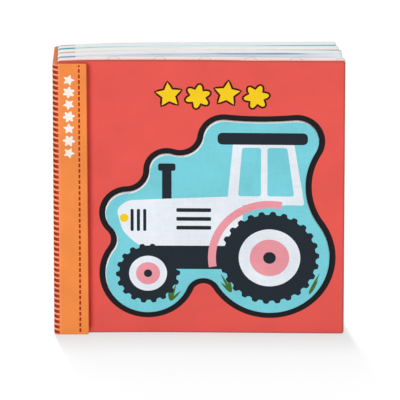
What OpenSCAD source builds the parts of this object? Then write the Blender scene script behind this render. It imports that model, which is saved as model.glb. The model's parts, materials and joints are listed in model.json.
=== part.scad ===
// Board book: four thick foam leaves bound in a wrap, with a piece die-cut from the front cover.
// The book stands on its foot. The spine is at -X, the fore edge at +X, the front cover faces -Y.

/* [Book] */
// Width from the outside of the spine to the fore edge of the front cover
book_w = 184; // [182:1:220]
// Height of the leaves from foot to head
book_h = 186; // [170:1:240]
// Thickness of one leaf
leaf_t = 7; // [5.5:0.5:9]
// Radius of the soft cut edges of a leaf
edge_r = 0.9; // [0.4:0.1:1.5]

/* [Leaves] */
// Angle by which the front cover stands ajar
cover_ajar = 1; // [0:0.1:1.6]
// Angle by which the first inner leaf leans back behind its bound margin
leaf_lean = 1.3; // [0:0.1:1.6]
// How much further each leaf behind it leans back, so that it stands a little apart at the fore edge
leaf_fan = 0.1; // [0.05:0.05:0.3]
// How far each leaf ends short of the leaf in front of it at the fore edge
leaf_step = 1.7; // [0:0.1:2]
// Room between a cover and the page under it, and between a cover and its bound margin
cover_room = 0.3; // [0.2:0.05:0.5]

/* [Binding] */
// Width of the flaps of the wrap, from the outside of the spine
flap_w = 22; // [18:0.5:26]
// Thickness of the flaps
flap_t = 2.4; // [1.2:0.1:3]
// Thickness of the wrap at the spine
spine_t = 3.2; // [2:0.1:4]
// Radius of the wrap's corners along the spine
spine_r = 2; // [1:0.1:4]
// How much further in the spine's back corner lies than its front corner
spine_slant = 1; // [0:0.1:2]
// How far the wrap ends below the head of the leaves
wrap_step = 2; // [0:0.1:3]
// Radius of the shoulder where a cover bends down into its crease
crease_r = 4.5; // [2:0.1:4.5]

/* [Cover piece] */
// Distance from the spine's outside to the middle of the piece
piece_x = 103.7; // [100:0.1:106]
// Distance from the foot of the leaf to the bottom of the piece
piece_z = 14.7; // [8:0.1:30]
// Width of the die-cut line round the piece
kerf = 0.2; // [0.1:0.05:0.4]
// How far the piece stands out of the cover's face
piece_proud = 1.5; // [0:0.1:2]

/* [Hidden] */
spine_x = -book_w / 2;
inside_x = spine_x + spine_t;
crease_x = spine_x + flap_w;
cover_run = book_w - flap_w;
stack_y = 2 * leaf_t;
outer_y = stack_y + flap_t;
wrap_h = book_h - wrap_step;
cover_t = leaf_t - cover_room;
// How far the inner leaves run into their glued margin
page_bite = 1;
// Radius of the flaps' free edges
flap_edge_r = 1;
// Steps in a small rounding, in a large one, and the longest step along the die-cut outline
small_n = 3;
large_n = 6;
die_step = 2.4;

// The die-cut outline is a ring of round lobes, each [x, z, radius], joined by hollow arcs.
// It follows a farm tractor that drives to the left: wheel, cab, chimney, bonnet and small wheel.
LOBES = [
    [33, 38, 38],
    [50, 117, 14],
    [4, 118, 13],
    [-32, 97, 11],
    [-57, 68, 14],
    [-44, 27, 27],
];
// Radius of the hollow arc that follows each lobe, going anticlockwise
HOLLOWS = [46, 220, 15, 15, 12, 11];

function positive_angle(a) = (a % 360 + 360) % 360;

function direction(from, to) = atan2(to.y - from.y, to.x - from.x);

function arc(middle, r, from, sweep, count) =
    [for (i = [0 : count]) middle + r * [cos(from + sweep * i / count), sin(from + sweep * i / count)]];

function corner(middle, r, from, count) = arc(middle, r, from, 90, count);

function joined(lists) = [for (list = lists) for (point = list) point];

function centre(lobe) = [lobe.x, lobe.y];

// Centre of the hollow arc of radius f that touches lobes a and b on their right-hand side
function hollow_centre(a, b, f) =
    let (span = centre(b) - centre(a), d = norm(span), ra = a.z + f, rb = b.z + f)
    let (along = (d * d + ra * ra - rb * rb) / (2 * d), across = sqrt(ra * ra - along * along))
    centre(a) + (along * span + across * [span.y, -span.x]) / d;

function die_arc(middle, r, from, sweep) =
    arc(middle, r, from, sweep, max(small_n, ceil(r * abs(sweep) * PI / 180 / die_step)));

// A hollow arc shares its two ends with the lobes beside it
function inner_points(points) = [for (i = [1 : len(points) - 2]) points[i]];

// Points of the die-cut outline, moved outwards by grow
function die_line(grow) =
    let (n = len(LOBES))
    let (hollows = [for (i = [0 : n - 1]) hollow_centre(LOBES[i], LOBES[(i + 1) % n], HOLLOWS[i])])
    joined([for (i = [0 : n - 1])
        let (here = centre(LOBES[i]), next = centre(LOBES[(i + 1) % n]))
        let (before = hollows[(i + n - 1) % n], after = hollows[i])
        let (lobe_from = direction(here, before), hollow_from = direction(after, here))
        let (lobe_sweep = positive_angle(direction(here, after) - lobe_from))
        let (hollow_sweep = -positive_angle(hollow_from - direction(after, next)))
        concat(
            die_arc(here, LOBES[i].z + grow, lobe_from, lobe_sweep),
            inner_points(die_arc(after, HOLLOWS[i] - grow, hollow_from, hollow_sweep))
        )
    ]);

// One leaf with soft edges: x from its bound end, y from its outer face, z from the foot.
// Its bound end rounds down to the crease with the given shoulder radius.
module leaf(run, thick, shoulder) {
    intersection() {
        linear_extrude(book_h)
            polygon(concat(
                corner([shoulder, shoulder], shoulder, 180, large_n),
                corner([run - edge_r, edge_r], edge_r, 270, small_n),
                corner([run - edge_r, thick - edge_r], edge_r, 0, small_n),
                [[0, thick]]
            ));
        rotate([90, 0, 90])
            linear_extrude(run)
                polygon(concat(
                    corner([edge_r, edge_r], edge_r, 180, small_n),
                    corner([thick - edge_r, edge_r], edge_r, 270, small_n),
                    corner([thick - edge_r, book_h - edge_r], edge_r, 0, small_n),
                    corner([edge_r, book_h - edge_r], edge_r, 90, small_n)
                ));
    }
}

// The part of a cover's leaf that is glued into the wrap, as a bar with soft head and foot edges
module bound_margin() {
    translate([inside_x, -stack_y, 0])
        rotate([90, 0, 90])
            linear_extrude(crease_x - inside_x)
                polygon(concat(
                    corner([edge_r, edge_r], edge_r, 180, small_n),
                    [[leaf_t, 0], [leaf_t, book_h]],
                    corner([edge_r, book_h - edge_r], edge_r, 90, small_n)
                ));
}

// The swinging part of a cover's leaf, from its crease to its fore edge
module cover_leaf(run) {
    translate([crease_x + cover_room, -stack_y, 0])
        leaf(run - cover_room, cover_t, crease_r);
}

// Turns what is drawn shut about the upright line through the crease at the given y
module turned(angle, at_y) {
    translate([crease_x, at_y, 0])
        rotate(angle)
            translate([-crease_x, -at_y, 0])
                children();
}

// The outline of the piece as a bar that starts at from_y and runs back
module die_bar(grow, from_y, depth) {
    translate([spine_x + piece_x, from_y + depth, piece_z])
        rotate([90, 0, 0])
            linear_extrude(depth)
                polygon(die_line(grow));
}

module spine_wrap() {
    color("#f2904c")
        linear_extrude(wrap_h)
            polygon(concat(
                corner([spine_x + spine_r, -outer_y + spine_r], spine_r, 180, large_n),
                corner([crease_x - flap_edge_r, -outer_y + flap_edge_r], flap_edge_r, 270, small_n),
                [[crease_x, -stack_y], [inside_x, -stack_y], [inside_x, stack_y], [crease_x, stack_y]],
                corner([crease_x - flap_edge_r, outer_y - flap_edge_r], flap_edge_r, 0, small_n),
                corner([spine_x + spine_slant + spine_r, outer_y - spine_r], spine_r, 90, large_n)
            ));
}

module front_margin() {
    color("#e25850")
        bound_margin();
}

// The die-cut opening goes right through the cover
module front_cover() {
    color("#e25850")
        turned(-cover_ajar, -outer_y)
            difference() {
                cover_leaf(cover_run);
                die_bar(kerf, -outer_y, outer_y);
            }
}

module cover_piece() {
    color("#78d2dc")
        turned(-cover_ajar, -outer_y)
            die_bar(0, -stack_y - piece_proud, cover_t);
}

// Two inner leaves, each turned a little further back than the leaf before it, on one glued margin
module page_block() {
    color("#f2efea")
        union() {
            translate([inside_x, -leaf_t, 0])
                cube([crease_x - inside_x, stack_y, book_h]);
            for (i = [0, 1])
                turned(leaf_lean + leaf_fan * i, (i - 1) * leaf_t)
                    translate([crease_x - page_bite, (i - 1) * leaf_t, 0])
                        leaf(cover_run - leaf_step * (i + 1) + page_bite, leaf_t, edge_r);
        }
}

module back_margin() {
    color("#e25850")
        mirror([0, 1, 0])
            bound_margin();
}

// The back cover leans two steps further than the first inner leaf, and is three steps shorter than
// the front cover
module back_cover() {
    color("#e25850")
        turned(leaf_lean + leaf_fan * 2, outer_y)
            mirror([0, 1, 0])
                cover_leaf(cover_run - leaf_step * 3);
}

spine_wrap();
front_margin();
front_cover();
cover_piece();
page_block();
back_margin();
back_cover();
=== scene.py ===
import json
import math
import bpy
import numpy as np
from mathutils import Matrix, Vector
from mathutils.geometry import delaunay_2d_cdt


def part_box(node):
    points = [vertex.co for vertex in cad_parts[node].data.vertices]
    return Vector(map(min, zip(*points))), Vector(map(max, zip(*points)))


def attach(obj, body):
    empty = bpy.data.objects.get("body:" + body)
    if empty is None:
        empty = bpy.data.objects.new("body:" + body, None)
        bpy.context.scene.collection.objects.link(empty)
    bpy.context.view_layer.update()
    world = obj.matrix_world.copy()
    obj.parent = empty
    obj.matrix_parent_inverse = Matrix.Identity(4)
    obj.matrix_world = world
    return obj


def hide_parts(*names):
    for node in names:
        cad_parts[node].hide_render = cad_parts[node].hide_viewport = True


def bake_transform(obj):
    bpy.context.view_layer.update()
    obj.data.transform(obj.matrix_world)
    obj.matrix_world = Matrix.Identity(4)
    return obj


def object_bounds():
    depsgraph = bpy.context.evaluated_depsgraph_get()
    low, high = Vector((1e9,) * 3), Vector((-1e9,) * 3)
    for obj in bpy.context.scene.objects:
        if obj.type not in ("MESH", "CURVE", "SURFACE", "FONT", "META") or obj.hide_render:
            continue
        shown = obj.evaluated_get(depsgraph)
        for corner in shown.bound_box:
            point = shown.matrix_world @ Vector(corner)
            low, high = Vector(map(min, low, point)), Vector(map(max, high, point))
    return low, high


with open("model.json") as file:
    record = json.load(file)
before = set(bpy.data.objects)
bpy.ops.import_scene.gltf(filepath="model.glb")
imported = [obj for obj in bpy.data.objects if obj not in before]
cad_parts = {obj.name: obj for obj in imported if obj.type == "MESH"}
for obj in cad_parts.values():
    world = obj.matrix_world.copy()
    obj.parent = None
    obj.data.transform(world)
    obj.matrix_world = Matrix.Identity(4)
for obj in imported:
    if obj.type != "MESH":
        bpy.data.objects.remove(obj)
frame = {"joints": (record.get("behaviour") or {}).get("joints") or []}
cad_low, cad_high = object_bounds()


# Inner leaves
# Two thick boards of soft white foam with a printed film on both faces, glued together along the spine.
# Each is die-cut, so its film rolls a little over the cut edge and shows as a coloured line at the head,
# darkened there by painted shade.

MM = 0.001
hinge = {joint["child"]: np.array(joint["pos_m"]) / MM for joint in frame["joints"]}
page_low, page_high = (np.array(corner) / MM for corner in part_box("page_block"))
crease_x = hinge["front_cover"][0]
inside_x = page_low[0]
head_z = page_high[2]
cover_end_x = -cad_low[0] / MM
leaf_t = np.ptp(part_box("front_margin"), 0)[1] / MM
leaf_lean, leaf_fan = np.radians([1.3, 0.1])
leaf_step = 1.7
page_edge_r = 0.6
plan_r = 1.7

# Lengths of the bend past the crease, of the hollow beside it, and of the hollow's end under the flap
bend_run = 9.0
crease_run = 6.6
tuck = 1.5

# Fineness of the meshes
support = 0.4
net_step = 9.0
corner_room = 4.0
upright_points = 38
quarter_turn = np.linspace(0, np.pi / 2, 5)
bend_xs = np.append(crease_x - tuck, np.linspace(crease_x, crease_x + bend_run, 16))


def rounded_plan(x_ends, z_ends, radius, xs, zs):
    """A rounded rectangle, anticlockwise: four quarter arcs about fixed centres, and the points xs and zs
    on the edges between them. The returned function moves the whole line outwards by grow."""
    left, right = x_ends
    foot, head = z_ends

    def line(grow):
        arc = (radius + grow) * np.stack([np.cos(quarter_turn), np.sin(quarter_turn)], 1)
        arcs = [arc, arc[::-1] * [-1, 1], -arc, arc[::-1] * [1, -1]]
        centres = [(right - radius, head - radius), (left + radius, head - radius),
                   (left + radius, foot + radius), (right - radius, foot + radius)]
        edges = [np.stack([xs[::-1], np.full_like(xs, head + grow)], 1),
                 np.stack([np.full_like(zs, left - grow), zs[::-1]], 1),
                 np.stack([xs, np.full_like(xs, foot - grow)], 1),
                 np.stack([np.full_like(zs, right + grow), zs], 1)]
        return np.concatenate([np.concatenate([a + c, e]) for a, c, e in zip(arcs, centres, edges)])
    return line


def inside(points, outline):
    """True for each point inside a closed outline: a level ray from it crosses the outline an odd number
    of times."""
    ends = np.roll(outline, -1, 0)
    px, py = points[:, :1], points[:, 1:]
    spans = (outline[:, 1] > py) != (ends[:, 1] > py)
    rise = np.where(ends[:, 1] == outline[:, 1], 1, ends[:, 1] - outline[:, 1])
    crossing = outline[:, 0] + (py - outline[:, 1]) / rise * (ends[:, 0] - outline[:, 0])
    return (spans & (px < crossing)).sum(1) % 2 == 1


def net_points(outer, holes):
    """A square net of points inside outer and outside the holes, so that a face can bend between its
    edges."""
    spans = [np.arange(low, high, net_step) for low, high in zip(outer.min(0), outer.max(0))]
    net = np.stack(np.meshgrid(*spans), -1).reshape(-1, 2)
    keep = inside(net, outer)
    for hole in holes:
        keep &= ~inside(net, hole)
    return net[keep]


def plan_triangles(outer, holes, outlines, folds, loose):
    """Triangles inside outer and outside the holes, with corners at the loose points, whose sides follow
    every outline and fold line."""
    tolerance, least_area = 1e-6, 1e-9
    closed = [outer, *holes, *outlines]
    lines = closed + list(folds)
    counts = np.array([len(line) for line in lines])
    starts = np.cumsum(counts) - counts
    edges = [s + np.stack([np.arange(n), np.roll(np.arange(n), -1)], 1) for s, n in zip(starts, counts)]
    edges = [e if k < len(closed) else e[:-1] for k, e in enumerate(edges)]
    points = [Vector(p) for p in np.concatenate([*lines, loose]).tolist()]
    found, _, triangles, *_ = delaunay_2d_cdt(points, np.concatenate(edges).tolist(), [], 0, tolerance)
    plan = np.array([tuple(p) for p in found])
    triangles = np.array(triangles)
    a, b, c = (plan[triangles[:, k]] for k in range(3))
    area = (b[:, 0] - a[:, 0]) * (c[:, 1] - a[:, 1]) - (b[:, 1] - a[:, 1]) * (c[:, 0] - a[:, 0])
    triangles[area < 0] = triangles[area < 0][:, ::-1]
    middles = (a + b + c) / 3
    keep = inside(middles, outer) & (np.abs(area) > least_area)
    for hole in holes:
        keep &= ~inside(middles, hole)
    return plan, triangles[keep], middles[keep]


def board(name, rims, thick, placed, materials, folds=(), prints=()):
    """A board cut along plan lines: flat faces at depth 0 and thick, joined along each line by a rim whose
    profile is a quarter round, a straight wall and a quarter round. A rim is a line that can grow and the
    radius of its rounds; the first rim goes round the board and the others round holes. placed turns
    plan x, plan z and depth into space. A print is an outline and the number of the material that fills
    it on the front face and on the rounds in front."""
    # A hole's line grows and runs the other way, so that its rim faces into the hole
    lines = [rims[0][0], *[lambda grow, cut=cut: cut(-grow)[::-1] for cut, _ in rims[1:]]]
    radii = [radius for _, radius in rims]
    sine, cosine = np.sin(quarter_turn), np.cos(quarter_turn)
    points, faces, numbers = [], [], []
    size = 0

    def printed(middles, on_front):
        """The number of the last print that holds the middle of each face, or 0."""
        number = np.zeros(len(middles), int)
        for outline, material in prints:
            number[inside(middles, outline) & on_front] = material
        return number

    # The rims, as rings of points from the front face to the back face
    for line, radius in zip(lines, radii):
        grow = radius * np.concatenate([sine - 1, cosine - 1])
        depth = np.concatenate([radius * (1 - cosine), thick - radius * (1 - sine)])
        rings = np.stack([np.column_stack([line(g), np.full(len(line(g)), d)]) for g, d in zip(grow, depth)])
        rows, count = rings.shape[:2]
        at = size + np.arange(rows * count).reshape(rows, count)
        around = np.roll(at, -1, 1)
        quads = np.stack([at[:-1], at[1:], around[1:], around[:-1]], -1).reshape(-1, 4)
        points.append(rings.reshape(-1, 3))
        faces.append(quads)
        middles = points[-1][quads - size].mean(1)
        numbers.append(printed(middles[:, :2], middles[:, 2] < radius))
        size += rows * count

    # The two faces, which end at the first and the last ring of each rim
    edges = [line(-radius) for line, radius in zip(lines, radii)]
    supports = [line(-radius - support) for line, radius in zip(lines, radii)]
    for face_depth in (0, thick):
        outlines = supports if face_depth else supports + [outline for outline, _ in prints]
        plan, corners, middles = plan_triangles(edges[0], edges[1:], outlines, folds,
                                                net_points(supports[0], supports[1:]))
        points.append(np.column_stack([plan, np.full(len(plan), face_depth)]))
        faces.append(size + (corners[:, ::-1] if face_depth else corners))
        numbers.append(printed(middles, face_depth == 0))
        size += len(plan)

    # One mesh, in which the points that meet are merged
    snapped = np.round(np.concatenate(points).astype(np.float32), 3)
    flat, same = np.unique(snapped, axis=0, return_inverse=True)
    same = same.ravel()
    space = placed(flat[:, 0], flat[:, 1], flat[:, 2]) * MM
    mesh = bpy.data.meshes.new(name)
    mesh.from_pydata(space.tolist(), [], [face for group in faces for face in same[group].tolist()])
    for material in materials:
        mesh.materials.append(material)
    mesh.polygons.foreach_set("material_index", np.concatenate(numbers))
    mesh.polygons.foreach_set("use_smooth", np.ones(len(mesh.polygons), bool))
    mesh.attributes.new("place", "FLOAT_VECTOR", "POINT").data.foreach_set("vector", space.ravel())
    mesh.attributes.new("across", "FLOAT", "POINT").data.foreach_set("value", flat[:, 2] / thick)
    mesh.validate()
    piece = bpy.data.objects.new(name, mesh)
    bpy.context.scene.collection.objects.link(piece)
    return piece


def srgb(red, green, blue):
    """A screen colour of 0 to 255 as linear light, with alpha."""
    c = np.array([red, green, blue]) / 255
    return (*np.where(c <= 0.04045, c / 12.92, ((c + 0.055) / 1.055) ** 2.4), 1.0)


def node(tree, kind, values=None, **settings):
    """A shader node with its settings, and a value or a link for each named or numbered input."""
    made = tree.nodes.new(kind)
    for key, setting in settings.items():
        setattr(made, key, setting)
    for key, value in (values or {}).items():
        if isinstance(value, bpy.types.NodeSocket):
            tree.links.new(value, made.inputs[key])
        else:
            made.inputs[key].default_value = value
    return made


def math_node(tree, operation, *values):
    """The result of a sum or the like on values or links."""
    return node(tree, "ShaderNodeMath", dict(enumerate(values)), operation=operation).outputs[0]


def distance(tree, x, y):
    """The length of the line that goes x one way and y the other: the root of the sum of their squares."""
    squares = [math_node(tree, "MULTIPLY", side, side) for side in (x, y)]
    return math_node(tree, "SQRT", math_node(tree, "ADD", *squares))


def mixed(tree, factor, a, b):
    """Colour a, going over to colour b as factor goes from 0 to 1."""
    return node(tree, "ShaderNodeMix", {0: factor, 6: a, 7: b}, data_type="RGBA").outputs[2]


def tinted(tree, colour, factor, tint):
    """A colour multiplied by a tint, as far as factor says."""
    settings = {"data_type": "RGBA", "blend_type": "MULTIPLY"}
    return node(tree, "ShaderNodeMix", {0: factor, 6: colour, 7: tint}, **settings).outputs[2]


def ramp(tree, value, low, high, to_low=0.0, to_high=1.0):
    """A value carried from the range low to high on to the range to_low to to_high, and held at its ends."""
    made = node(tree, "ShaderNodeMapRange", {0: value, 1: low, 2: high, 3: to_low, 4: to_high})
    return made.outputs[0]


def stops(tree, value, levels):
    """A value of 0 to 1 carried on to levels that stand at even steps along it, straight between them."""
    made = node(tree, "ShaderNodeValToRGB", {0: value})
    elements = made.color_ramp.elements
    while len(elements) < len(levels):
        elements.new(0.5)
    for k, level in enumerate(levels):
        elements[k].position = k / (len(levels) - 1)
        elements[k].color = (level, level, level, 1)
    return made.outputs["Color"]


def noise(tree, place, scale, detail=2.0):
    """Smooth noise, with about scale waves to one unit of place."""
    values = {"Vector": place, "Scale": scale, "Detail": detail}
    return node(tree, "ShaderNodeTexNoise", values).outputs["Fac"]


def clouds(tree, place, scale, detail=2.0, low=0.0, high=1.0):
    """Noise spread over the range low to high, since its own values keep to about 0.3 to 0.7."""
    return ramp(tree, noise(tree, place, scale, detail), 0.3, 0.7, low, high)


def rest_place(tree):
    """The place of a point with the book shut, in metres, so that a finish stays put when a leaf bends."""
    return node(tree, "ShaderNodeAttribute", attribute_name="place").outputs["Vector"]


def drifting(tree, place, colour, share):
    """A printed colour that drifts in soft clouds by share of its brightness."""
    cloud_scale, cloud_detail = 45.0, 4.0
    darker, lighter = (srgb(*[min(255, c * (1 + s)) for c in colour]) for s in (-share, share))
    return mixed(tree, clouds(tree, place, cloud_scale, cloud_detail), darker, lighter)


def pebble(tree, place):
    """The fine grain of the foam's cells, as noise."""
    cell_scale, cell_detail = 1500.0, 3.0
    return noise(tree, place, cell_scale, cell_detail)


# How much of the pebble shows through a printed film
film_pebble = 0.3


def threads(tree, place):
    """A woven grain from 0 to 1: two noises, each drawn out along one direction, multiplied."""
    fine, long = 1100.0, 130.0
    scales = [(fine, fine, long), (long, fine, fine)]
    drawn_out = [node(tree, "ShaderNodeVectorMath", {0: place, 1: scale}, operation="MULTIPLY").outputs[0]
                 for scale in scales]
    return math_node(tree, "MULTIPLY", *[clouds(tree, stretched, 1.0) for stretched in drawn_out])


def woven_in(tree, colour, height, grain, weave):
    """A colour that the threads of a grain darken, as far as weave says, and a height that they raise."""
    thread_tint, thread_rise = (0.6, 0.6, 0.6, 1), 0.5
    darkened = tinted(tree, colour, math_node(tree, "MULTIPLY", grain, weave), thread_tint)
    raised = math_node(tree, "ADD", height, math_node(tree, "MULTIPLY", grain, thread_rise))
    return darkened, raised


def new_material(name):
    """A material with no nodes yet."""
    material = bpy.data.materials.new(name)
    material.use_nodes = True
    material.node_tree.nodes.clear()
    return material


def surfaced(material, colour, height):
    """A satin surface of one colour, with a height of 0 to 1 worked into its normal as fine bump."""
    relief, roughness, shine = 0.22 * MM, 0.55, 0.1
    tree = material.node_tree
    bump = node(tree, "ShaderNodeBump", {"Height": height, "Strength": 1.0, "Distance": relief}).outputs[0]
    shader = node(tree, "ShaderNodeBsdfPrincipled", {"Base Color": colour, "Normal": bump})
    shader.inputs["Roughness"].default_value = roughness
    shader.inputs["Specular IOR Level"].default_value = shine
    node(tree, "ShaderNodeOutputMaterial", {"Surface": shader.outputs[0]})
    return material


def die_marks(tree, along, up, across):
    """Half rings in a row on a leaf's head, where the cutting die was held, from 0 to 1: the distance from
    the nearest ring's middle, in its half width and its height, is about 1 on the line."""
    first, step, half_width = 3.9, 28.7, 3.7
    low, high, line = 0.15, 0.75, 0.14
    under_head, at_head = 1.2, 0.6
    sideways = math_node(tree, "PINGPONG", math_node(tree, "SUBTRACT", along, first * MM), step / 2 * MM)
    wide = math_node(tree, "DIVIDE", sideways, half_width * MM)
    tall = math_node(tree, "DIVIDE", math_node(tree, "SUBTRACT", across, low), high - low)
    off_line = math_node(tree, "ABSOLUTE", math_node(tree, "SUBTRACT", distance(tree, wide, tall), 1.0))
    on_line = math_node(tree, "MULTIPLY", ramp(tree, off_line, line / 2, line, 1.0, 0.0),
                        math_node(tree, "GREATER_THAN", across, low))
    on_head = math_node(tree, "MULTIPLY", ramp(tree, up, (head_z - under_head) * MM, (head_z - at_head) * MM),
                        math_node(tree, "GREATER_THAN", along, crease_x * MM))
    return math_node(tree, "MULTIPLY", on_line, on_head)


def leaf_finish(name, films, weave=0.0, marked=0.0):
    """A foam leaf: printed film on its two faces, which goes over the rounded edge, darker there with painted
    shade, and ends along a soft uneven line, with pale porous foam between. A film has a colour on the face,
    a colour on the edge darkened by painted shade, a reach over the edge as a share of the thickness, the
    part of both that is kept at evenly spaced places from the crease to the fore edge, where more than 1 is a
    longer reach, and the colour of the painted glow that it throws on the foam beside it. In the glued margin
    it keeps its whole reach, and above the wrap it carries the same painted shade as on the edge. Threads
    show in the film as strongly as weave says, and the marks of the cutting die as strongly as marked says."""
    foam = (238, 239, 240)
    foam_drift, film_drift = 0.03, 0.02
    above_wrap, wrap_fade = 2.4, 0.4
    whole_until, margin_fade = crease_x - 7, 1.0
    uneven_scale, uneven_detail, uneven_low, uneven_high = 24.0, 3.0, 0.5, 1.2
    face_depth, end_softness = 0.005, 1.3
    glow_depths, glow_levels = (0.08, 0.5), (1.0, 0.45)
    mark_tint = (0.6, 0.58, 0.56, 1)
    material = new_material(name)
    tree = material.node_tree
    place = rest_place(tree)
    across = node(tree, "ShaderNodeAttribute", attribute_name="across").outputs["Fac"]
    depth = math_node(tree, "PINGPONG", across, 0.5)
    along, _, up = node(tree, "ShaderNodeSeparateXYZ", {0: place}).outputs
    whole = ramp(tree, along, (whole_until - margin_fade) * MM, whole_until * MM, 1.0, 0.0)
    in_margin = ramp(tree, along, (crease_x - margin_fade) * MM, crease_x * MM, 1.0, 0.0)
    near_head = ramp(tree, up, (head_z - above_wrap - wrap_fade) * MM, (head_z - above_wrap) * MM)
    shaded_margin = math_node(tree, "MULTIPLY", in_margin, near_head)
    uneven = clouds(tree, place, uneven_scale, uneven_detail, uneven_low, uneven_high)
    plain_foam = drifting(tree, place, foam, foam_drift)
    # Painted shade: the film takes its darker edge colour over the rounded edge and on the margin above the
    # wrap
    painted_edge_shade = math_node(tree, "MAXIMUM", ramp(tree, depth, 0.0, face_depth), shaded_margin)
    # Painted glow: the foam beside the film takes on the film's colour, fading with depth
    glow_share = ramp(tree, depth, *glow_depths, *glow_levels)
    sides = []
    for film in films:
        kept = stops(tree, ramp(tree, along, crease_x * MM, cover_end_x * MM), film["kept"])
        strength = math_node(tree, "MULTIPLY", painted_edge_shade, math_node(tree, "MAXIMUM", whole, kept))
        on_face, shaded_edge_colour = (drifting(tree, place, film[part], film_drift) for part in ("face", "edge"))
        shown = math_node(tree, "MAXIMUM", whole, math_node(tree, "MULTIPLY", kept, uneven))
        film_end = math_node(tree, "MULTIPLY", shown, film["reach"])
        soft_end = math_node(tree, "MULTIPLY", film_end, end_softness)
        on_film = ramp(tree, depth, film_end, soft_end, 1.0, 0.0)
        glowing_foam = mixed(tree, glow_share, plain_foam, srgb(*film["foam_glow"]))
        sides.append((mixed(tree, on_film, glowing_foam, mixed(tree, strength, on_face, shaded_edge_colour)), on_film))
    on_back = math_node(tree, "GREATER_THAN", across, 0.5)
    colour = mixed(tree, on_back, sides[0][0], sides[1][0])
    on_film = math_node(tree, "MAXIMUM", sides[0][1], sides[1][1])
    height = math_node(tree, "MULTIPLY", pebble(tree, place), ramp(tree, on_film, 0.0, 1.0, 1.0, film_pebble))
    if marked:
        marks = math_node(tree, "MULTIPLY", die_marks(tree, along, up, across), marked)
        colour = tinted(tree, colour, marks, mark_tint)
    if weave:
        grain = math_node(tree, "MULTIPLY", threads(tree, place), on_film)
        colour, height = woven_in(tree, colour, height, grain, weave)
    return surfaced(material, colour, height)


def fanned(front_y, pivot_y, angle, thick=leaf_t, dips=(0.0, 0.0), bow=0.0, lags=(0.0, 0.0), slant=0.0):
    """Places a leaf: past the crease it turns by angle about the pivot line and bows back by a cubic that is
    highest at a third of its way. Its front and back face also stand back by their lags, which grow evenly
    from the spine to the crease and go back to nothing at the fore edge. Beside the crease, which slants
    towards the spine at the head, a face sinks by its dip, along a parabola that levels out after
    crease_run, and it comes straight up again under the wrap's flap and near the head and the foot. The
    head of the margin falls by spine_fall towards the spine, and the rest of its height with it."""
    level_from, level_to = 1.5, 5.0
    spine_fall = 0.55
    cubic_peak = 4 / 27

    def placed(x, z, depth):
        into_margin = np.clip((crease_x - x) / (crease_x - inside_x), 0, 1)
        z = z * (1 - spine_fall / head_z * into_margin)
        eased = np.clip((x - crease_x) / bend_run, 0, 1)
        a = angle * eased * eased * (3 - 2 * eased)
        from_edge = x - crease_x + slant * z / head_z
        beside = (1 - np.clip(from_edge / crease_run, 0, 1)) ** 2
        sunk = np.where(from_edge > 0, beside, 1 - np.clip(-from_edge / tuck, 0, 1))
        sunk *= np.clip((np.minimum(z, head_z - z) - level_from) / (level_to - level_from), 0, 1)
        share = depth / thick
        dx = x - crease_x
        way = np.clip(dx / (cover_end_x - crease_x), 0, 1)
        bowed = bow * way * (1 - way) ** 2 / cubic_peak
        lagging = (1 - into_margin) * (1 - way) * (lags[0] * (1 - share) + lags[1] * share)
        dy = front_y - pivot_y + depth + bowed + lagging + sunk * (dips[0] * (1 - share) - dips[1] * share)
        return np.stack([crease_x + dx * np.cos(a) - dy * np.sin(a),
                         pivot_y + dx * np.sin(a) + dy * np.cos(a), z], 1)
    return placed


def leaf_plan(end_x):
    """A leaf's outline, with points close together where it bends at the crease."""
    columns = np.concatenate([np.linspace(inside_x + corner_room, bend_xs[0], 4)[:-1], bend_xs,
                              np.linspace(bend_xs[-1], end_x - corner_room, 30)[1:]])
    rows = np.linspace(corner_room, head_z - corner_room, upright_points)
    return rounded_plan((inside_x, end_x), (0.0, head_z), plan_r, columns, rows)


def fold_lines(xs, head, edge):
    """Upright lines across a face, with a few points near the head and the foot, where the hollow levels
    out."""
    rows = np.array([edge, 1.5, 2.4, 3.2, 4.0, 5.0])
    zs = np.concatenate([rows, head - rows[::-1]])
    return [np.column_stack([np.full(len(zs), x), zs]) for x in xs]


# A film's edge colour is its face colour darkened by painted shade; its last colour is a painted glow on the
# foam
sky_film = {"face": (242, 246, 252), "edge": (120, 152, 176), "reach": 0.1,
            "kept": (0.1, 0.33, 0.55, 0.6, 0.85, 1.7, 1.6, 0.5, 0.2), "foam_glow": (216, 226, 240)}
sage_film = {"face": (236, 232, 226), "edge": (158, 166, 156), "reach": 0.06,
             "kept": (0.3, 0.3, 0.3, 1.6, 6.5), "foam_glow": (238, 235, 232)}
sand_film = {"face": (238, 214, 198), "edge": (204, 160, 134), "reach": 0.16,
             "kept": (0.3, 0.17, 0.2, 0.2, 0.2), "foam_glow": (241, 233, 227)}
lagoon_film = {"face": (136, 196, 198), "edge": (88, 162, 164), "reach": 0.13,
               "kept": (0.42, 0.2, 0.16, 0.54, 0.85), "foam_glow": (218, 234, 236)}

# Each leaf's films on its front and back, its bow, and the lags of its two faces
page_leaves = [((sky_film, sage_film), 1.9, (1.0, 1.3)), ((sand_film, lagoon_film), 1.6, (1.4, 1.6))]
for number, (films, bow, lags) in enumerate(page_leaves):
    at_y = (number - 1) * leaf_t
    end_x = cover_end_x - leaf_step * (number + 1)
    leaf = board(f"page_leaf_{number + 1}", [(leaf_plan(end_x), page_edge_r)], leaf_t,
                 fanned(at_y, at_y, leaf_lean + leaf_fan * number, bow=bow, lags=lags),
                 [leaf_finish(f"page_{number + 1}", films)], fold_lines(bend_xs, head_z, page_edge_r))
    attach(leaf, "binding")
    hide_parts("page_block")


# Back leaf
# A foam board like the inner leaves, red outside, whose margin is glued under the wrap's back flap.
# It is creased beside the flap, and its mesh has close fold lines there.

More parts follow.
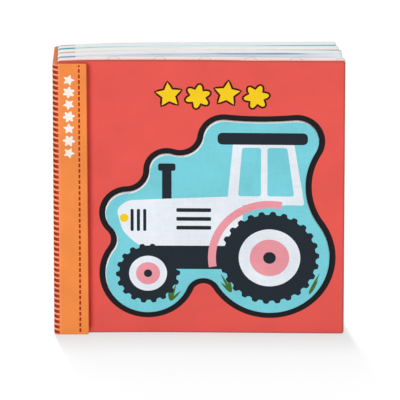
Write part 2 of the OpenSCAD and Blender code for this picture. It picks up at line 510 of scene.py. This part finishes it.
outer_y = hinge["back_cover"][1]
cover_room = 0.3
cover_t = leaf_t - cover_room
edge_r = 0.9
crease_dip = 2.7
back_bow = 1.3
back_lag = 1.6
tomato = (231, 89, 81)
# The edge colour of this red film is painted shade, and its last colour a painted glow on the foam
outer_film = {"face": tomato, "edge": (130, 76, 66), "reach": 0.22, "kept": (0.6, 0.6),
              "foam_glow": (228, 227, 228)}
back_leaf = board("back_leaf", [(leaf_plan(cover_end_x - 3 * leaf_step), edge_r)], cover_t,
                  fanned(leaf_t + cover_room, outer_y, leaf_lean + 2 * leaf_fan, cover_t,
                         dips=(0.0, crease_dip), bow=back_bow, lags=(back_lag, back_lag)),
                  [leaf_finish("back_film", (lagoon_film, outer_film))],
                  fold_lines(bend_xs, head_z, edge_r))
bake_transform(back_leaf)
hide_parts("back_margin", "back_cover")


# Front leaf
# The front cover's foam board, glued under the wrap's front flap and creased beside it. A loose piece is
# die-cut out of it, and a wide black line is printed round the cut and a row of yellow shapes above it.

stack_y = 2 * leaf_t
cover_ajar = math.radians(1.0)
front_edge_r = 1.2
front_bow = 0.9
lining_lag = 0.9
edge_slant = 0.7
kerf = 0.2
cut_r = 0.3
border = 3.7
# The edge colour of the cover's film is painted shade, and its last colour a painted glow on the foam
cover_film = {"face": tomato, "edge": (196, 88, 80), "reach": 0.13, "kept": (1.0, 1.0),
              "foam_glow": (255, 200, 184)}
lining_film = {**sky_film, "foam_glow": (238, 225, 227)}

# The die-cut outline: where its middle and foot lie, the centre and radius of each lobe, and the radius of
# the hollow that follows each lobe
piece_at = np.array([11.7, 14.7])
lobes = np.array([[33, 38, 38], [50, 117, 14], [4, 118, 13], [-32, 97, 11], [-57, 68, 14], [-44, 27, 27]])
hollows = np.array([46, 220, 15, 15, 12, 11])


def die_line(grow):
    """The die-cut outline, anticlockwise: round lobes of centre and radius, each joined to the next by a
    hollow arc that touches both from outside. Growing adds to the lobes and takes from the hollows."""
    lobe_steps, hollow_steps = np.linspace(0, 1, 61), np.linspace(0, 1, 25)[1:-1]
    middles, nexts = lobes[:, :2], np.roll(lobes, -1, 0)
    to_lobe, to_next = lobes[:, 2] + hollows, nexts[:, 2] + hollows
    span = nexts[:, :2] - middles
    gap = np.hypot(*span.T)
    along = (gap ** 2 + to_lobe ** 2 - to_next ** 2) / (2 * gap)
    across = np.sqrt(to_lobe ** 2 - along ** 2)
    sideways = np.stack([span[:, 1], -span[:, 0]], 1)
    centres = middles + (along[:, None] * span + across[:, None] * sideways) / gap[:, None]

    def heading(here, there):
        """The angle of the way from one point to another."""
        return np.arctan2(there[:, 1] - here[:, 1], there[:, 0] - here[:, 0])

    def arcs(middle, radius, start, sweep, share):
        """Points about each middle, at shares of the sweep from its start."""
        angle = start[:, None] + sweep[:, None] * share
        return middle[:, None] + radius[:, None, None] * np.stack([np.cos(angle), np.sin(angle)], -1)

    full = 2 * np.pi
    lobe_from = heading(middles, np.roll(centres, 1, 0))
    lobe_sweep = (heading(middles, centres) - lobe_from) % full
    hollow_from = heading(centres, middles)
    hollow_sweep = -((hollow_from - heading(centres, nexts[:, :2])) % full)
    round_lobes = arcs(middles, lobes[:, 2] + grow, lobe_from, lobe_sweep, lobe_steps)
    round_hollows = arcs(centres, hollows - grow, hollow_from, hollow_sweep, hollow_steps)
    return np.concatenate([round_lobes, round_hollows], 1).reshape(-1, 2) + piece_at


def film_relief(tree, place):
    """The pebble of the foam as it shows through a printed film."""
    return math_node(tree, "MULTIPLY", pebble(tree, place), film_pebble)


def ink(name, colour, weave=0.0):
    """Printed film of one colour, with a soft drift and the fine pebble of the foam under it, and with a
    woven grain as strong as weave."""
    ink_drift = 0.03
    material = new_material(name)
    tree = material.node_tree
    place = rest_place(tree)
    film, height = drifting(tree, place, colour, ink_drift), film_relief(tree, place)
    if weave:
        film, height = woven_in(tree, film, height, threads(tree, place), weave)
    return surfaced(material, film, height)


def polar(middle, radius, turn=0.0, count=96):
    """A closed outline about a middle whose radius is a function of the angle from its own axis."""
    angle = np.linspace(0, 2 * np.pi, count, endpoint=False)
    r = radius(angle) if callable(radius) else np.full(count, radius)
    return np.array(middle) + np.stack([r * np.cos(angle + turn), r * np.sin(angle + turn)], 1)


def flower(size):
    """A flower of six petals: its radius swings about 0.8 of size with the cosine of six times the angle."""
    return lambda angle: size * (0.8 + 0.2 * np.cos(6 * angle))


def star(size):
    """A five-pointed star: from a point to the notch beside it, at half its size, the radius at each angle
    is that of the straight line between the two."""
    point, notch = size, 0.5 * size
    slice_angle = np.pi / 5

    def radius(angle):
        a = np.abs((angle + slice_angle) % (2 * slice_angle) - slice_angle)
        return point * notch * np.sin(slice_angle) / (
            point * np.sin(a) + notch * np.sin(slice_angle - a))
    return radius


def widened(outline, amount):
    """An anticlockwise outline whose points move out by amount, square to the line through the points
    before and after."""
    along = np.roll(outline, -1, 0) - np.roll(outline, 1, 0)
    out = np.stack([along[:, 1], -along[:, 0]], 1)
    return outline + amount * out / np.hypot(*out.T)[:, None]


BORDER, TITLE_LINE, TITLE_FILL = range(1, 4)
yellow = (250, 207, 30)
title_at = (8.5, 162.5)
title_step = 18.4
title_line = 1.3

# Each shape's size, its turn in degrees and how far it stands above the line of the row
title_row = [(star, 8.4, 95, 0), (flower, 8.0, 20, -1), (star, 8.4, 84, 1), (flower, 8.0, 8, -1)]
title_prints = []
for k, (shape, size, tilt, rise) in enumerate(title_row):
    from_middle = k - (len(title_row) - 1) / 2
    middle = (title_at[0] + from_middle * title_step, title_at[1] + rise)
    filled = polar(middle, shape(size), math.radians(tilt), 60)
    title_prints += [(widened(filled, title_line), TITLE_LINE), (filled, TITLE_FILL)]

front_leaf = board("front_leaf",
                   [(leaf_plan(cover_end_x), front_edge_r), (lambda grow: die_line(grow + kerf), cut_r)],
                   cover_t, fanned(-stack_y, -outer_y, -cover_ajar, cover_t, dips=(crease_dip, 0.0),
                                   bow=front_bow, lags=(0.0, lining_lag), slant=edge_slant),
                   [leaf_finish("front_film", (cover_film, lining_film), marked=0.6),
                    ink("border_black", (28, 26, 29)), ink("title_brown", (62, 16, 8)),
                    ink("title_yellow", yellow)],
                   fold_lines(bend_xs, head_z, front_edge_r),
                   [(die_line(kerf + border), BORDER), *title_prints])
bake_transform(front_leaf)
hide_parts("front_margin", "front_cover")


# Pop-out piece
# The loose piece pressed into the front cover's opening, die-cut from the same foam board and a little
# proud of it. Its print is moved low and to the right in the cut, so that pale foam shows along the top and
# left as a painted highlight.

piece_r = 0.65
piece_proud = 1.5
# The shift bares pale foam on the front face along the top and left: a painted highlight
painted_highlight_shift = np.array([0.45, -0.45])


def rounded(corners, radius):
    """A polygon with soft corners: at each, a quadratic curve from radius before it to radius after it."""
    c = np.array(corners, float)
    before, after = np.roll(c, 1, 0) - c, np.roll(c, -1, 0) - c
    before, after = (side / np.hypot(*side.T)[:, None] for side in (before, after))
    t = np.linspace(0, 1, 7)[None, :, None]
    a, b = c + radius * before, c + radius * after
    return ((1 - t) ** 2 * a[:, None] + 2 * t * (1 - t) * c[:, None] + t ** 2 * b[:, None]).reshape(-1, 2)


def upright(left, right, low, high, radius=0.8):
    """An upright rectangle with soft corners."""
    return rounded([(left, low), (right, low), (right, high), (left, high)], radius)


def band(middle, inner, outer, start, end):
    """A strip of an arc between two radii and two angles in degrees."""
    angle = np.radians(np.linspace(start, end, 41))
    ray = np.stack([np.cos(angle), np.sin(angle)], 1)
    return np.array(middle) + np.concatenate([outer * ray, inner * ray[::-1]])


def grass(root, tip, width=1.6):
    """A blade of grass: two shallow arcs from root to tip, furthest apart near the root."""
    root, tip = np.array(root, float), np.array(tip, float)
    side = np.array([root[1] - tip[1], tip[0] - root[0]])
    side *= width / np.hypot(*side)
    fullness = 1.5
    t = np.linspace(0, 1, 9)[:, None]
    swell = np.sqrt(t) * (1 - t) * fullness
    spine = root + (tip - root) * t
    return np.concatenate([spine + side * swell, (spine - side * swell)[-2:0:-1]])


def lugged(size, count):
    """A tyre's outline: its radius steps softly between the tread and the lugs, as the hyperbolic tangent of
    a cosine."""
    lug, steepness = 1.1, 2.5
    return lambda angle: size + lug * np.tanh(steepness * np.cos(count * angle))


WHITE, NAVY, PINK, GREEN, YELLOW, CYAN = range(1, 7)
big_wheel, small_wheel = (33, 38), (-44, 27)
tractor = [
    *[(grass((-30, 8), tip), GREEN) for tip in ((-31, 21), (-26, 20), (-23, 15))],
    *[(grass((9, 14), tip), GREEN) for tip in ((2, 21), (2, 27), (6, 29))],
    *[(grass((58, 13), tip), GREEN) for tip in ((64, 23), (65, 28))],
    (upright(-48, 24, 30, 47, 3), NAVY),
    (rounded([(6, 74), (10, 118), (48, 118), (55, 74)], 2), WHITE),
    (rounded([(13, 80), (15.5, 113), (27.5, 113), (27.5, 80)], 2), CYAN),
    (rounded([(31.5, 80), (31.5, 113), (44, 113), (48.5, 80)], 2), CYAN),
    (upright(0, 57, 115, 123, 3.5), NAVY),
    (upright(-35, -29, 72, 99), NAVY),
    (upright(-37.5, -26.5, 97, 102, 1.5), NAVY),
    (rounded([(-50, 46), (16, 46), (16, 80), (-57, 77), (-64, 71), (-60, 56)], 4), WHITE),
    *[(upright(-55 + 4 * k, -53 + 4 * k, 56, 71), NAVY) for k in range(3)],
    *[(upright(-26, -4, 57 + 6 * k, 59.6 + 6 * k), NAVY) for k in range(3)],
    (polar((-59, 65), 2.8), YELLOW),
    (band(big_wheel, 34, 39, 78, 190), PINK),
    (polar(big_wheel, lugged(30.5, 26), 0.05, 416), NAVY),
    (polar(big_wheel, 19.5), WHITE),
    (polar(big_wheel, 12.5), PINK),
    (polar(big_wheel, 4), NAVY),
    (polar(small_wheel, lugged(19.3, 18), 0.02, 288), NAVY),
    (polar(small_wheel, 12), WHITE),
    (polar(small_wheel, 7.6), PINK),
    (polar(small_wheel, 2.6), NAVY),
]
woven = 0.2
pale = (240, 243, 244)
pale_film = {"face": pale, "edge": pale, "reach": 0.02, "kept": (1.0, 1.0), "foam_glow": (238, 239, 240)}
pop_out_piece = board("pop_out_piece", [(die_line, piece_r)], cover_t,
                      fanned(-stack_y - piece_proud, -outer_y, -cover_ajar, cover_t, bow=front_bow),
                      [leaf_finish("piece_foam", (pale_film, sky_film), woven),
                       ink("piece_white", (234, 240, 248), woven), ink("piece_navy", (32, 41, 50), woven),
                       ink("piece_pink", (238, 154, 164), woven), ink("piece_green", (70, 110, 40), woven),
                       ink("piece_yellow", yellow, woven), ink("piece_cyan", (122, 210, 222), woven)],
                      prints=[(die_line(0.0) + painted_highlight_shift, CYAN)]
                      + [(outline + piece_at, number) for outline, number in tractor])
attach(pop_out_piece, "front_cover")
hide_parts("cover_piece")


# Spine wrap
# A thick orange strip folded round the spine in a U and glued to both covers, a little short of the head.
# Whip stitches are printed along its folds, a running stitch along each flap and white marks on the front.

wrap_low, wrap_high = (np.array(corner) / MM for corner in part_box("spine_wrap"))
spine_x, wrap_head = wrap_low[0], wrap_high[2]
spine_r, inner_r, spine_slant = 2.0, 0.5, 1.0
flap_t = outer_y - stack_y
flap_edge_r, flap_corner_r = 0.45, 0.9
fold_points = 9
dash_at = 5.4


def u_section(x_front, x_back, y, radius):
    """The U from the back flap's free edge round the spine to the front flap's: straight flaps and spine,
    and a quarter arc at each fold. The back flap's free edge stands out with the leaf under it."""
    turn = np.linspace(0, np.pi / 2, fold_points)
    across, along = radius * (1 - np.sin(turn)), radius * (1 - np.cos(turn))
    front = np.stack([x_front + across, -y + along], 1)
    back = np.stack([x_back + across, y - along], 1)
    return np.concatenate([[[crease_x, y + back_lag]], back, front[::-1], [[crease_x, -y]]])


outer_u = u_section(spine_x, spine_x + spine_slant, outer_y, spine_r)
inner_u = u_section(inside_x, inside_x, stack_y, inner_r)
run_at = np.append(0, np.cumsum(np.hypot(*np.diff(outer_u, axis=0).T)))
back_fold, front_fold = run_at[1:-1].reshape(2, fold_points)
wrap_run = run_at[-1]


def folded(u, z, depth):
    """Carries the flat strip round the spine: a point lies between the outer and the inner U, at the
    same share of each stretch. The front flap's free edge leans towards the spine at the head."""
    u = u - edge_slant * z / wrap_head * np.clip(1 - (wrap_run - u) / dash_at, 0, 1)
    share = (depth / flap_t)[:, None]
    outer, inner = (np.stack([np.interp(u, run_at, line[:, k]) for k in range(2)], 1)
                    for line in (outer_u, inner_u))
    return np.column_stack([outer + (inner - outer) * share, z])


def wrap_film(name, colour, at_fold, fold_reach):
    """Printed film that changes to another colour along the two folds of the spine, over fold_reach from
    the folds' outside, and is brown where it is cut at the ends of the spine."""
    wrap_drift = 0.03
    spine_depths, cut_depths = (3.0, 4.0), (0.05, 0.15)
    cut_strength, cut_tint = 0.6, (0.4, 0.4, 0.4, 1)
    material = new_material(name)
    tree = material.node_tree
    place = rest_place(tree)
    x, y, _ = node(tree, "ShaderNodeSeparateXYZ", {0: place}).outputs
    from_x = math_node(tree, "SUBTRACT", x, spine_x * MM)
    from_y = math_node(tree, "SUBTRACT", math_node(tree, "ABSOLUTE", y), outer_y * MM)
    near = ramp(tree, distance(tree, from_x, from_y), fold_reach[0] * MM, fold_reach[1] * MM, 1.0, 0.0)
    flat_colour, fold_colour = (drifting(tree, place, shade, wrap_drift) for shade in (colour, at_fold))
    film = mixed(tree, near, flat_colour, fold_colour)
    across = node(tree, "ShaderNodeAttribute", attribute_name="across").outputs["Fac"]
    at_spine = ramp(tree, from_x, spine_depths[0] * MM, spine_depths[1] * MM, cut_strength, 0.0)
    cut = math_node(tree, "MULTIPLY", ramp(tree, across, *cut_depths), at_spine)
    return surfaced(material, tinted(tree, film, cut, cut_tint), film_relief(tree, place))


def stitch_row(stitch, ends, count):
    """One stitch repeated at even steps from foot to head, and cut off just below the head of the wrap."""
    clear_of_head = 0.5
    limit = [np.inf, wrap_head - clear_of_head]
    return [np.minimum(stitch + [0, z], limit) for z in np.linspace(ends[0], wrap_head - ends[1], count)]


def both_flaps(outlines):
    """Outlines on the back flap and, mirrored, on the front flap."""
    return outlines + [(outline * [-1, 1] + [wrap_run, 0])[::-1] for outline in outlines]


whip_from, whip_to = 18.5, 24.8
whip_half, whip_slant = 1.12, 0.2
whip_ends, whip_count = (1.65, 1.9), 52
whip_rise = (whip_to - whip_from) * whip_slant
whip = np.array([(whip_from, -whip_half), (whip_to, whip_rise - whip_half),
                 (whip_to, whip_rise + whip_half), (whip_from, whip_half)])
dash_half = (0.6, 1.3)
dash_ends, dash_count = (3.1, 0.44), 49
dash = np.array([(-1, -1), (1, -1), (1, 1), (-1, 1)]) * dash_half + [dash_at, 0]
whips = both_flaps(stitch_row(whip, whip_ends, whip_count))
dashes = both_flaps(stitch_row(dash, dash_ends, dash_count))

mark_u, mark_head = wrap_run - 11.9, wrap_head - 10.5
mark_step, mark_r, mark_turn = 8.2, 3.9, 0.4
mark_shapes = [star, flower, star, flower, star, flower, star]
marks = [polar((mark_u, mark_head - k * mark_step), shape(mark_r), k * mark_turn, 72)
         for k, shape in enumerate(mark_shapes)]

fold_room = 2.0
back_columns = np.linspace(corner_room, back_fold[0] - fold_room, 6)
spine_columns = np.linspace(back_fold[-1] + fold_room, front_fold[0] - fold_room, 8)
front_columns = np.linspace(front_fold[-1] + fold_room, wrap_run - corner_room, 6)
wrap_columns = np.concatenate([back_columns, back_fold, spine_columns, front_fold, front_columns])
wrap_rows = np.linspace(corner_room, wrap_head - corner_room, upright_points)
wrap_plan = rounded_plan((0.0, wrap_run), (0.0, wrap_head), flap_corner_r, wrap_columns, wrap_rows)
WHIP, DASH, MARK = range(1, 4)
# The whip stitches turn dark brown towards the folds: painted shade where the strip curves away round the
# spine
printed_wrap = board("printed_wrap", [(wrap_plan, flap_edge_r)], flap_t, folded,
                     [wrap_film("wrap_orange", (246, 143, 72), (250, 160, 114), (2.5, 5.0)),
                      wrap_film("whip_red", (192, 54, 26), (146, 40, 18), (1.2, 3.0)),
                      ink("dash_red", (164, 40, 16)), ink("mark_white", (250, 244, 236))],
                     fold_lines(run_at[1:-1], wrap_head, flap_edge_r),
                     [(outline, number) for outlines, number in [(whips, WHIP), (dashes, DASH), (marks, MARK)]
                      for outline in outlines])
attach(printed_wrap, "binding")
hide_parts("spine_wrap")


# Studio
# A white floor and a white surround. A main light behind the book and a broad one at its front left light it.
# Two long strips of light run back from high above it and light the floor alone, so that the book's shadow
# falls to the front and right with clear sides and fades away from its foot.

# Lengths are in metres from here on
floor_half = 3.0
floor_mesh = bpy.data.meshes.new("floor")
floor_mesh.from_pydata([(-floor_half, -floor_half, 0), (floor_half, -floor_half, 0),
                        (floor_half, floor_half, 0), (-floor_half, floor_half, 0)], [], [(0, 1, 2, 3)])
floor = bpy.data.objects.new("floor", floor_mesh)
bpy.context.scene.collection.objects.link(floor)


def seen(tree):
    """1 for rays from the camera and for mirrored or refracted ones, 0 for the light that falls on things."""
    path = node(tree, "ShaderNodeLightPath").outputs
    straight = math_node(tree, "MAXIMUM", path["Is Camera Ray"], path["Is Glossy Ray"])
    return math_node(tree, "MAXIMUM", straight, path["Is Transmission Ray"])


def glowing_paint(tree, grey, glow):
    """A grey paint that shows light and shadow, over an even glow of its own."""
    paint = node(tree, "ShaderNodeBsdfDiffuse", {"Color": (grey, grey, grey, 1)}).outputs[0]
    even = node(tree, "ShaderNodeEmission", {"Color": (1, 1, 1, 1), "Strength": glow}).outputs[0]
    return node(tree, "ShaderNodeAddShader", {0: paint, 1: even}).outputs[0]


def white_surround(tree, strength):
    """White light from all round."""
    return node(tree, "ShaderNodeBackground", {"Color": (1, 1, 1, 1), "Strength": strength}).outputs[0]


bounced_grey, bounced_glow = 0.11, 0.45
seen_grey, seen_glow = 0.12, 0.675
floor_paint = new_material("floor_paint")
tree = floor_paint.node_tree
bounced = glowing_paint(tree, bounced_grey, bounced_glow)
white_floor = glowing_paint(tree, seen_grey, seen_glow)
floor_mix = node(tree, "ShaderNodeMixShader", {0: seen(tree), 1: bounced, 2: white_floor}).outputs[0]
node(tree, "ShaderNodeOutputMaterial", {"Surface": floor_mix})
floor_mesh.materials.append(floor_paint)

surround_light, surround_seen = 0.65, 1.0
world = bpy.data.worlds.new("studio")
bpy.context.scene.world = world
world.use_nodes = True
tree = world.node_tree
tree.nodes.clear()
lighting, backdrop = (white_surround(tree, strength) for strength in (surround_light, surround_seen))
world_mix = node(tree, "ShaderNodeMixShader", {0: seen(tree), 1: lighting, 2: backdrop}).outputs[0]
node(tree, "ShaderNodeOutputWorld", {"Surface": world_mix})

# Each lamp's strength and, in degrees, its spread, its heading from +Y towards +X, and its height
lamps = [("main_light", 0.9, 25, 163, 52), ("front_light", 1.3, 50, 35, 14)]
for name, energy, spread, side, height in lamps:
    lamp_data = bpy.data.lights.new(name, "SUN")
    lamp_data.energy = energy
    lamp_data.angle = math.radians(spread)
    lamp = bpy.data.objects.new(name, lamp_data)
    bpy.context.scene.collection.objects.link(lamp)
    side, height = math.radians(side), math.radians(height)
    shines = Vector((math.sin(side) * math.cos(height), math.cos(side) * math.cos(height), -math.sin(height)))
    lamp.rotation_euler = shines.to_track_quat("-Z", "Y").to_euler()

strip_height = 12.0
strip_width = 0.05
strip_turn = math.radians(13.5)
strip_start = Vector((0, -0.05, strip_height))
strip_back = Vector((-math.sin(strip_turn), math.cos(strip_turn), 0))
floor_only = bpy.data.collections.new("floor_only")
floor_only.objects.link(floor)
for name, watts, reach in [("near_strip", 1870, 0.19), ("far_strip", 1010, 0.45)]:
    strip_data = bpy.data.lights.new(name, "AREA")
    strip_data.shape = "RECTANGLE"
    strip_data.size = strip_width
    strip_data.size_y = reach * strip_height
    strip_data.energy = watts
    strip = bpy.data.objects.new(name, strip_data)
    bpy.context.scene.collection.objects.link(strip)
    strip.location = strip_start + strip_back * strip_data.size_y / 2
    strip.rotation_euler = (0, 0, strip_turn)
    strip.light_linking.receiver_collection = floor_only


# Camera
# A long lens in front of the book, looking down on it so that the head of the leaves shows. Its length gives
# the book the size in pixels that it has in the photo.

photo_px = 400
px_per_m = 1577
distance_m = 5.2
elevation = math.radians(22)
azimuth = math.radians(-0.45)
aim = Vector((0.0008, 0, 0.0855))
camera_data = bpy.data.cameras.new("camera")
camera_data.lens = camera_data.sensor_width * distance_m * px_per_m / photo_px
camera_data.clip_end = 50
camera = bpy.data.objects.new("camera", camera_data)
bpy.context.scene.collection.objects.link(camera)
from_aim = Vector((math.sin(azimuth) * math.cos(elevation), -math.cos(azimuth) * math.cos(elevation),
                   math.sin(elevation)))
camera.location = aim + from_aim * distance_m
camera.rotation_euler = (math.pi / 2 - elevation, 0, azimuth)
bpy.context.scene.camera = camera
bpy.context.scene.view_settings.view_transform = "Standard"
